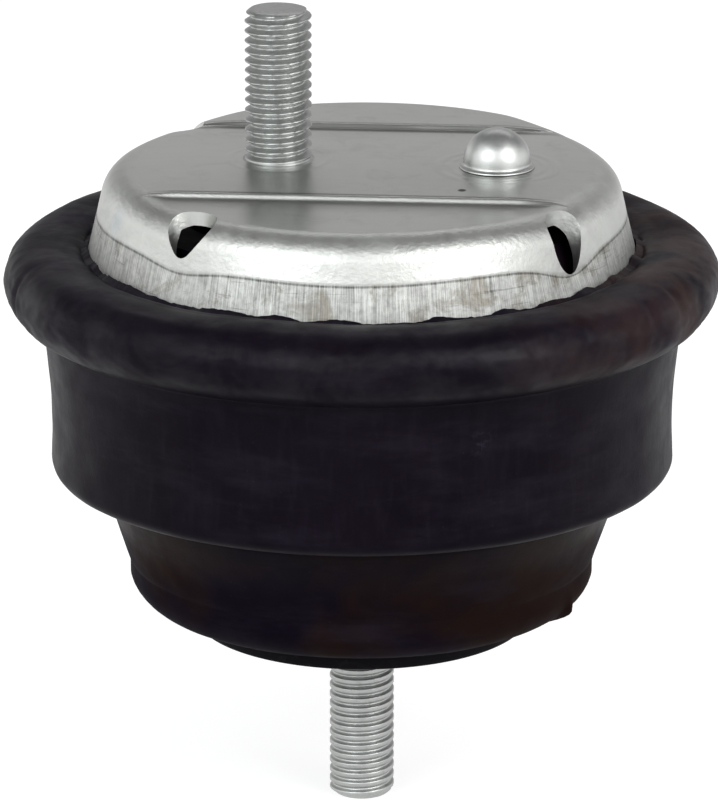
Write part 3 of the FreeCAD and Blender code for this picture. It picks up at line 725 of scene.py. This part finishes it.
def punched(mesh, cutters):
    """Cut round holes out of a closed mesh and give back the cut mesh."""
    holders = []
    for number, part in enumerate([mesh] + cutters):
        bmesh.ops.recalc_face_normals(part, faces=part.faces)
        data = bpy.data.meshes.new("punch_%d" % number)
        part.to_mesh(data)
        part.free()
        holder = bpy.data.objects.new("punch_%d" % number, data)
        bpy.context.scene.collection.objects.link(holder)
        holders.append(holder)
    sheet = holders[0]
    for holder in holders[1:]:
        cut = sheet.modifiers.new("cut", "BOOLEAN")
        cut.operation = "DIFFERENCE"
        cut.solver = "EXACT"
        cut.object = holder
    graph = bpy.context.evaluated_depsgraph_get()
    result = bpy.data.meshes.new_from_object(sheet.evaluated_get(graph))
    for holder in holders:
        data = holder.data
        bpy.data.objects.remove(holder)
        bpy.data.meshes.remove(data)
    cut_mesh = bmesh.new()
    cut_mesh.from_mesh(result)
    bpy.data.meshes.remove(result)
    return cut_mesh


def vent_cutter(vent):
    """The steep punch of one vent, wider at the top than below."""
    low, high = -VENT_PUNCH_HALF, VENT_PUNCH_HALF
    mesh = lathe([(0.0, low), (vent.radius + low * VENT_FLARE * VENT_FLARE_BELOW, low),
                  (vent.radius, 0.0), (vent.radius + high * VENT_FLARE, high), (0.0, high)],
                 PUNCH_SEGMENTS)
    lean = math.radians(vent.tilt)
    turn = math.radians(vent.turn)
    outward = Vector((math.cos(turn) * math.cos(lean), math.sin(turn) * math.cos(lean),
                      math.sin(lean)))
    bmesh.ops.rotate(mesh, cent=(0, 0, 0), verts=mesh.verts,
                     matrix=Vector((0, 0, 1)).rotation_difference(outward).to_matrix())
    middle = (math.cos(turn) * vent.reach, math.sin(turn) * vent.reach, VENT_LEVEL)
    bmesh.ops.translate(mesh, vec=middle, verts=mesh.verts)
    return mesh


def hole_cutter(radius, x):
    """An upright punch for a hole through the crown."""
    mesh = lathe([(0.0, -4.0), (radius, -4.0), (radius, 2.0), (0.0, 2.0)], HOLE_SEGMENTS)
    bmesh.ops.translate(mesh, vec=(x, 0.0, BAND_TOP), verts=mesh.verts)
    return mesh


punches = [vent_cutter(vent) for vent in VENTS]
punches += [hole_cutter(ROOT_RADIUS + HOLE_CLEARANCE, BOLT_X),
            hole_cutter(PIN_HOLE_RADIUS, PIN_X)]
piece("pressed_pan", punched(pressed_pan(), punches), PAN_ZINC, ["base_pan"], 32.0)


# ------------------------------------------------------------ rubber body
RUBBER_SEGMENTS = 480
MOULD_INSET = 0.32                   # keeps the strayed surface inside the solid
BROAD_STRAY = 0.22
LOCAL_STRAY = 0.07
COLLAR_STRAY = 0.25
FOLD_DEPTH = 0.22
LIP_RAGGED = (0.7, 0.22)             # the inner lip's edge, in broad and fine waves
CREST_RAGGED = 0.3
CREST_FALL = 0.25
NUB_TURN = math.radians(-18.0)
NUB_SIZE = 1.3
CREASES = [(math.radians(-157.0), 55.0, 0.5), (math.radians(-28.0), 56.5, 0.35),
           (math.radians(-20.0), 58.0, 0.4), (math.radians(-44.0), 57.5, 0.3)]


def rubber_outside():
    """Outline from the core's edge over lip, neck, body and collar to the crest."""
    bottom = body_low.z
    lip = RING_RADIUS - 9.9
    lip_edge = bottom + 4.7
    neck_low = RING_RADIUS - 7.3
    neck_top = RING_RADIUS - 5.7
    fillet = 2.2
    body_edge = 2.0
    body_foot = RING_RADIUS + 2.0
    body_head = RING_RADIUS + 3.1
    body_top = SHELF - 1.5
    collar_middle = SHELF + 4.0
    crest = body_high.z - 0.19
    crest_out = RIM_RADIUS - 1.2
    crest_in = crest_out - 4.3
    trough = FOOT_RADIUS + 1.2
    points = [(CORE_NECK_RADIUS, bottom), (SEAT_RADIUS, bottom), (SEAT_RADIUS + 4.2, bottom + 0.4)]
    points += arc(points[-1], (lip, lip_edge), 5.7, 1, 10)
    points += straight(points[-1], (lip, lip_edge + 2.2), 3)
    points += arc(points[-1], (lip + 0.25, lip_edge + 2.9), 0.8, -1, 4)
    points += straight(points[-1], (neck_low, BODY_BOTTOM - 6.6), 10)
    points += straight(points[-1], (neck_top, BODY_BOTTOM - fillet), 7)
    points += arc(points[-1], (neck_top + fillet, BODY_BOTTOM), fillet, -1, 8)
    points += straight(points[-1], (body_foot - body_edge, BODY_BOTTOM), 4)
    points += arc(points[-1], (body_foot, BODY_BOTTOM + body_edge), body_edge, 1, 8)
    points += arc(points[-1], (body_head, body_top - 0.8), 97.0, -1, 26)
    points += arc(points[-1], (body_head + 0.9, body_top), 0.85, -1, 5)
    points += straight(points[-1], (body_head + 1.2, body_top + 0.02), 1)
    points += arc(points[-1], (COLLAR_RADIUS, collar_middle), 6.0, 1, 16)
    points += arc(points[-1], (crest_out, crest), 5.5, 1, 16)
    points += arc(points[-1], (crest_in, crest), 12.0, 1, 10)
    points += arc(points[-1], (trough, FLANGE_TOP + 2.4), 4.0, 1, 6)
    return points


def rubber_inside():
    """Outline from the crest's inner lip down the faces on pan, ring and core."""
    lip_radius = FOOT_RADIUS + 0.12
    flange = FLANGE_TOP + 0.08
    bead = FLANGE_TOP + 1.8
    ring_inner = RING_RADIUS - 1.8
    points = [(lip_radius, FLANGE_TOP + 2.9)]
    for step in range(5):
        lean = math.pi / 8 * step
        points.append((lip_radius + FOOT_BEND * (1 - math.cos(lean)),
                       flange + FOOT_BEND * (1 - math.sin(lean))))
    points += [(RIM_RADIUS - 4.8, flange), (RIM_RADIUS - 4.8, bead), (RIM_RADIUS, bead),
               (RIM_RADIUS, SHELF), (RING_RADIUS, SHELF), (RING_RADIUS, ring_low.z),
               (ring_inner, ring_low.z), (ring_inner, 45.6), (42.0, 45.6),
               (42.0, 39.5), (26.0, 29.0), (CORE_TOP_RADIUS, core_high.z)]
    return points


def moulding_wobble(radius, height, turn):
    """How far the moulded surface strays outward, in millimetres."""
    x = radius * math.cos(turn)
    y = radius * math.sin(turn)
    broad = noise.noise(Vector((x, y, height)) * 0.045)
    local = noise.noise(Vector((x, y, height * 2.0)) * 0.16)
    stray = broad * BROAD_STRAY + local * LOCAL_STRAY
    collar = eased((height - SHELF + 2.0) / 3.0)
    rolled = Vector((x * 0.10, y * 0.10, height * 0.25)) + Vector((7, 3, 1))
    stray += collar * noise.noise(rolled) * COLLAR_STRAY
    folded = Vector((x * 0.32, y * 0.32, height * 0.55))
    stray -= collar * abs(noise.noise(folded)) * FOLD_DEPTH
    for crease_turn, crease_height, depth in CREASES:
        along = math.remainder(turn - crease_turn, 2 * math.pi) * radius
        stray -= depth * hump(along, 0.8) * hump(height - crease_height, 3.0)
    nub = hump(math.remainder(turn - NUB_TURN, 2 * math.pi) * radius, 1.1)
    return stray + nub * hump(height - body_low.z - 2.2, 1.5) * NUB_SIZE


def bonded(radius, height):
    """True for the faces on the core and inside the ring, which stay as turned."""
    if radius < SEAT_RADIUS + 1.0:
        return True
    return radius < RING_RADIUS + 0.6 and ring_low.z - 0.5 < height < FLANGE_TOP + 1.9


def rubber_body():
    """The moulding, turned from its outline and then made a little uneven."""
    mesh = lathe(rubber_outside() + rubber_inside(), RUBBER_SEGMENTS, looped=True)
    for vert in mesh.verts:
        radius = math.hypot(vert.co.x, vert.co.y)
        height = vert.co.z
        if bonded(radius, height):
            continue
        stray = moulding_wobble(radius, height, math.atan2(vert.co.y, vert.co.x))
        scale = (radius + stray - MOULD_INSET) / radius
        vert.co.x *= scale
        vert.co.y *= scale
        place = Vector((vert.co.x, vert.co.y, 0.0))
        if radius < FOOT_RADIUS + 1.4 and height > FLANGE_TOP + 2.0:
            broad, fine = LIP_RAGGED
            vert.co.z += broad * noise.noise(place * 0.22) + fine * noise.noise(place * 1.3)
        if height > SHELF + 4.0:
            lift = noise.noise(place * 0.06) * CREST_RAGGED - CREST_FALL
            vert.co.z += lift * eased((height - SHELF - 4.0) / 4.0)
    return mesh


piece("rubber_moulding", rubber_body(), RUBBER, ["rubber_body"], 50.0)


# ------------------------------------------------------------ inner core
def core_profile():
    """Flat disc with a rounded edge and the cone that stands on it."""
    edge = 0.5
    points = [(0.0, stud_high.z), (ROOT_RADIUS, stud_high.z), (ROOT_RADIUS, 0.0)]
    points += straight(points[-1], (SEAT_RADIUS - edge, 0.0), 6)
    points += arc(points[-1], (SEAT_RADIUS, edge), edge, 1, 5)
    points += straight(points[-1], (SEAT_RADIUS, SEAT_THICKNESS), 4)
    points += [(CORE_NECK_RADIUS, SEAT_THICKNESS), (CORE_TOP_RADIUS, core_high.z),
               (0.0, core_high.z)]
    return points


piece("seat_core", lathe(core_profile(), 240), CORE_COAT, ["inner_core"], 40.0)


# ------------------------------------------------------------ locating pin
def pin_profile():
    """Tail under the sheet, shank, swaged collar, short land and dome."""
    top = BAND_TOP
    rise = pin_high.z - top - PIN_RADIUS
    collar = pin_high.x - PIN_X
    swage = 0.28
    points = [(0.0, pin_low.z), (PIN_TAIL_RADIUS, pin_low.z), (PIN_TAIL_RADIUS, top - SHEET),
              (PIN_SHANK_RADIUS, top - SHEET), (PIN_SHANK_RADIUS, top), (collar, top)]
    points += arc(points[-1], (collar - swage, top + swage), swage, 1, 5)
    points += arc(points[-1], (PIN_RADIUS, top + rise), 0.6, -1, 6)
    points += arc(points[-1], (0.02, pin_high.z), PIN_RADIUS, 1, 36)
    points += [(0.0, pin_high.z)]
    return points


pin_mesh = lathe(pin_profile(), 144)
bmesh.ops.translate(pin_mesh, vec=(PIN_X, 0.0, 0.0), verts=pin_mesh.verts)
piece("domed_pin", pin_mesh, DOME_ZINC, ["locating_pin"], 40.0)


# ------------------------------------------------------------ threads
THREAD_INPUTS = {
    "Crest Radius": 5.0, "Thread Depth": 0.9, "Pitch": 1.5, "Root Radius": 5.3,
    "Root Height": 2.0, "Head Radius": 5.3, "Head Height": 2.0, "Reach": 20.0,
    "Crest Share": 0.1, "Valley Share": 0.1, "Tip Bevel": 0.8, "Run Out": 1.5,
    "Around": 96, "Rows": 250,
}
TIP_SLOPE = 1.2                      # how fast the bevel narrows towards the tip
PHASE_LIFT = 64.0                    # whole turns added, so that no phase is negative
MERGE_DISTANCE = 0.002


def thread_tree(material):
    """A stud with a helical thread: a grid wrapped round Z by its own rule."""
    tree = bpy.data.node_groups.new("cut_thread", "GeometryNodeTree")
    g = Graph(tree)
    for name, number in THREAD_INPUTS.items():
        kind = "NodeSocketInt" if isinstance(number, int) else "NodeSocketFloat"
        tree.interface.new_socket(name, in_out="INPUT", socket_type=kind)
    tree.interface.new_socket("Geometry", in_out="OUTPUT", socket_type="NodeSocketGeometry")
    given = g.node("NodeGroupInput")
    take = {name: g.out(given, name) for name in THREAD_INPUTS}
    grid = g.node("GeometryNodeMeshGrid", None, {
        "Size X": 1.0, "Size Y": 1.0,
        "Vertices X": take["Around"] + 1, "Vertices Y": take["Rows"]})
    parts = g.node("ShaderNodeSeparateXYZ", None, {0: g.out(g.node("GeometryNodeInputPosition"))})
    around = g.out(parts, "X") + 0.5
    up = g.out(parts, "Y") + 0.5
    cap = 2.0 / (take["Rows"] - 1)
    bottom = -1.0 * (take["Root Height"] + take["Head Height"])
    along = g.span(up, cap, 1 - cap, bottom, take["Reach"])
    closing = (g.span(up, 0.0, cap, 0.0, 1.0) * g.span(up, 1 - cap, 1.0, 1.0, 0.0)).clamped()
    phase = g.maths("FRACT", along / take["Pitch"] - around + PHASE_LIFT)
    wave = 1 - (phase * 2 - 1).size()
    ridge = ((wave - take["Valley Share"])
             / (1 - take["Valley Share"] - take["Crest Share"])).clamped()
    cut = g.span(along, 0.0, take["Run Out"], 0.0, 1.0, smooth=True)
    flank = take["Crest Radius"] - take["Thread Depth"] * (1 - ridge) * cut
    tip = take["Crest Radius"] - take["Tip Bevel"] + (take["Reach"] - along) * TIP_SLOPE
    flank = flank.least(tip)
    in_root = g.maths("LESS_THAN", along, 0.0)
    in_head = g.maths("LESS_THAN", along, -1.0 * take["Root Height"])
    radius = flank + in_root * (take["Root Radius"] - flank)
    radius = radius + in_head * (take["Head Radius"] - radius)
    radius = radius * closing * MM
    turn = around * (2 * math.pi)
    wrapped = g.node("ShaderNodeCombineXYZ", None, {
        "X": radius * g.maths("COSINE", turn), "Y": radius * g.maths("SINE", turn),
        "Z": along * MM})
    moved = g.node("GeometryNodeSetPosition", None,
                   {"Geometry": g.out(grid, "Mesh"), "Position": g.out(wrapped)})
    merged = g.node("GeometryNodeMergeByDistance", None,
                    {"Geometry": g.out(moved), "Distance": MERGE_DISTANCE * MM})
    real = g.node("GeometryNodeRealizeInstances", None, {"Geometry": g.out(merged)})
    dressed = g.node("GeometryNodeSetMaterial", None,
                     {"Geometry": g.out(real), "Material": material})
    result = g.node("NodeGroupOutput")
    tree.links.new(g.out(dressed).socket, result.inputs["Geometry"])
    return tree


def threaded(material, **sizes):
    """The mesh of one threaded stud, standing on its seat and pointing up."""
    holder = bpy.data.objects.new("thread_blank", bpy.data.meshes.new("thread_blank"))
    bpy.context.scene.collection.objects.link(holder)
    tree = thread_tree(material)
    wanted = dict(THREAD_INPUTS)
    wanted.update({name.replace("_", " "): number for name, number in sizes.items()})
    modifier = holder.modifiers.new("thread", "NODES")
    modifier.node_group = tree
    for socket in tree.interface.items_tree:
        if socket.in_out == "INPUT" and socket.name in wanted:
            modifier[socket.identifier] = wanted[socket.name]
    graph = bpy.context.evaluated_depsgraph_get()
    result = bpy.data.meshes.new_from_object(holder.evaluated_get(graph))
    mesh = bmesh.new()
    mesh.from_mesh(result)
    data = holder.data
    bpy.data.objects.remove(holder)
    bpy.data.meshes.remove(data)
    bpy.data.meshes.remove(result)
    bpy.data.node_groups.remove(tree)
    bmesh.ops.scale(mesh, vec=(1 / MM, 1 / MM, 1 / MM), verts=mesh.verts)
    return mesh


bolt_mesh = threaded(
    BOLT_ZINC, Crest_Radius=BOLT_RADIUS, Thread_Depth=0.92, Pitch=PITCH,
    Root_Radius=ROOT_RADIUS, Root_Height=SHEET, Head_Radius=8.0,
    Head_Height=BAND_TOP - SHEET - bolt_low.z, Reach=BOLT_TOP - BAND_TOP,
    Crest_Share=0.10, Valley_Share=0.12, Tip_Bevel=0.75, Run_Out=0.8, Rows=260)
bmesh.ops.translate(bolt_mesh, vec=(BOLT_X, 0.0, BAND_TOP), verts=bolt_mesh.verts)
piece("threaded_frame_stud", bolt_mesh, BOLT_ZINC, ["frame_stud"], 50.0)

stud_mesh = threaded(
    STUD_ZINC, Crest_Radius=STUD_RADIUS, Thread_Depth=0.48, Pitch=PITCH,
    Root_Radius=ROOT_RADIUS, Root_Height=stud_high.z, Head_Radius=ROOT_RADIUS,
    Head_Height=0.0, Reach=-STUD_END, Crest_Share=0.34, Valley_Share=0.12,
    Tip_Bevel=0.9, Run_Out=0.8, Rows=400)
bmesh.ops.rotate(stud_mesh, cent=(0, 0, 0), verts=stud_mesh.verts,
                 matrix=Vector((0, 0, 1)).rotation_difference(Vector((0, 0, -1))).to_matrix())
piece("threaded_engine_stud", stud_mesh, STUD_ZINC, ["engine_stud"], 50.0)


# ------------------------------------------------------------ studio
FLOOR_TONE = 0.45
FLOOR_FILL = 0.74                    # lifts the floor to white where it is seen
FLOOR_HALF = 3.0                     # metres
FRONT_LEVEL = 1.05                   # in reflections, low in front of the mount
MID_LEVEL = 1.70                     # in front, at the height of the softboxes
BEHIND_LEVEL = 0.60                  # low behind it
GAP_LEVEL = 0.20                     # above that, behind
TOP_LEVEL = 0.25                     # overhead
SIDE_LEVEL = 1.60                    # low on the left and the right
ROOM_LEVEL = 0.45                    # what lights it from all round
LAMP_AIM = Vector((0.0, 0.0, 0.04))


def studio_floor():
    """A plain pale floor under the stud end."""
    mesh = bmesh.new()
    bmesh.ops.create_grid(mesh, x_segments=1, y_segments=1, size=FLOOR_HALF)
    bmesh.ops.translate(mesh, vec=(0.0, 0.0, STUD_END * MM), verts=mesh.verts)
    data = bpy.data.meshes.new("studio_floor")
    mesh.to_mesh(data)
    mesh.free()
    material = bpy.data.materials.new("pale_floor")
    material.use_nodes = True
    g = Graph(material.node_tree)
    shader = g.tree.nodes["Principled BSDF"]
    shader.inputs["Base Color"].default_value = (FLOOR_TONE, FLOOR_TONE, FLOOR_TONE, 1.0)
    shader.inputs["Roughness"].default_value = 0.9
    shader.inputs["Specular IOR Level"].default_value = 0.0
    path = g.node("ShaderNodeLightPath")
    seen = g.out(path, "Is Camera Ray").most(g.out(path, "Is Glossy Ray"))
    seen = seen.most(g.out(path, "Is Transmission Ray"))
    glow = g.node("ShaderNodeEmission", None, {"Strength": seen * FLOOR_FILL})
    both = g.node("ShaderNodeAddShader", None, {0: g.out(shader), 1: g.out(glow)})
    g.tree.links.new(g.out(both).socket, g.tree.nodes["Material Output"].inputs["Surface"])
    data.materials.append(material)
    floor = bpy.data.objects.new("studio_floor", data)
    bpy.context.scene.collection.objects.link(floor)


def studio_world():
    """White all round for the camera; a soft room for light and reflections.
    Levels change with a direction's Y and Z, each from -1 to 1."""
    world = bpy.data.worlds.new("soft_studio")
    bpy.context.scene.world = world
    world.use_nodes = True
    g = Graph(world.node_tree)
    g.tree.nodes.clear()
    way = g.node("ShaderNodeSeparateXYZ", None,
                 {0: g.out(g.node("ShaderNodeTexCoord"), "Generated")})
    behind = g.span(g.out(way, "Y"), -0.35, 0.35, 0.0, 1.0, smooth=True)
    raised = g.out(way, "Z")
    low_behind = g.span(raised, 0.36, 0.50, BEHIND_LEVEL, GAP_LEVEL, smooth=True)
    low_front = g.span(raised, 0.12, 0.26, FRONT_LEVEL, MID_LEVEL, smooth=True)
    low_front = low_front + g.span(raised, 0.62, 0.85, 0.0, 1.0, smooth=True) * (
        TOP_LEVEL - low_front)
    room = low_front + behind * (low_behind - low_front)
    aside = g.span(g.out(way, "X").size(), 0.55, 0.85, 0.0, 1.0, smooth=True)
    aside = aside * g.span(raised, 0.45, 0.15, 0.0, 1.0, smooth=True)
    room = room + aside * (SIDE_LEVEL - room)
    path = g.node("ShaderNodeLightPath")
    seen = g.out(path, "Is Camera Ray")
    glossy = g.out(path, "Is Glossy Ray").most(g.out(path, "Is Transmission Ray"))
    strength = ROOM_LEVEL + glossy * (room - ROOM_LEVEL)
    strength = strength + seen * (1.0 - strength)
    shader = g.node("ShaderNodeBackground", None,
                    {"Color": (1.0, 1.0, 1.0, 1.0), "Strength": strength})
    g.tree.links.new(g.out(shader).socket,
                     g.node("ShaderNodeOutputWorld").inputs["Surface"])


def softbox(name, place, width, height, radiance, tint=(1.0, 1.0, 1.0)):
    """A soft lamp that looks at the middle of the mount; sizes in metres."""
    light = bpy.data.lights.new(name, "AREA")
    light.shape = "RECTANGLE"
    light.size = width
    light.size_y = height
    light.energy = radiance * math.pi * width * height
    light.color = tint
    made = bpy.data.objects.new(name, light)
    bpy.context.scene.collection.objects.link(made)
    made.location = place
    aim = LAMP_AIM - Vector(place)
    made.rotation_euler = aim.to_track_quat("-Z", "Y").to_euler()


studio_floor()
studio_world()
softbox("left_softbox", (-0.52, -0.92, 0.70), 0.62, 0.75, 4.2, (0.94, 0.985, 1.0))
softbox("right_softbox", (0.82, -0.64, 0.70), 0.62, 0.75, 4.8)
softbox("far_strip", (0.0, 0.95, 1.00), 1.20, 0.28, 1.8)


# ------------------------------------------------------------ camera
def camera(distance, elevation, azimuth, target, lens, shift):
    data = bpy.data.cameras.new("main_camera")
    data.lens = lens
    data.sensor_width = 36.0
    data.shift_x, data.shift_y = shift
    made = bpy.data.objects.new("main_camera", data)
    bpy.context.scene.collection.objects.link(made)
    up = math.radians(elevation)
    turn = math.radians(azimuth)
    middle = Vector((0.0, 0.0, target))
    made.location = middle + distance * Vector((
        math.cos(up) * math.sin(turn), -math.cos(up) * math.cos(turn), math.sin(up)))
    made.rotation_euler = (middle - made.location).to_track_quat("-Z", "Y").to_euler()
    bpy.context.scene.camera = made


camera(distance=1.070, elevation=17.0, azimuth=8.0, target=0.035, lens=321.3,
       shift=(-0.0035, -0.0070))
bpy.context.scene.view_settings.view_transform = "Standard"
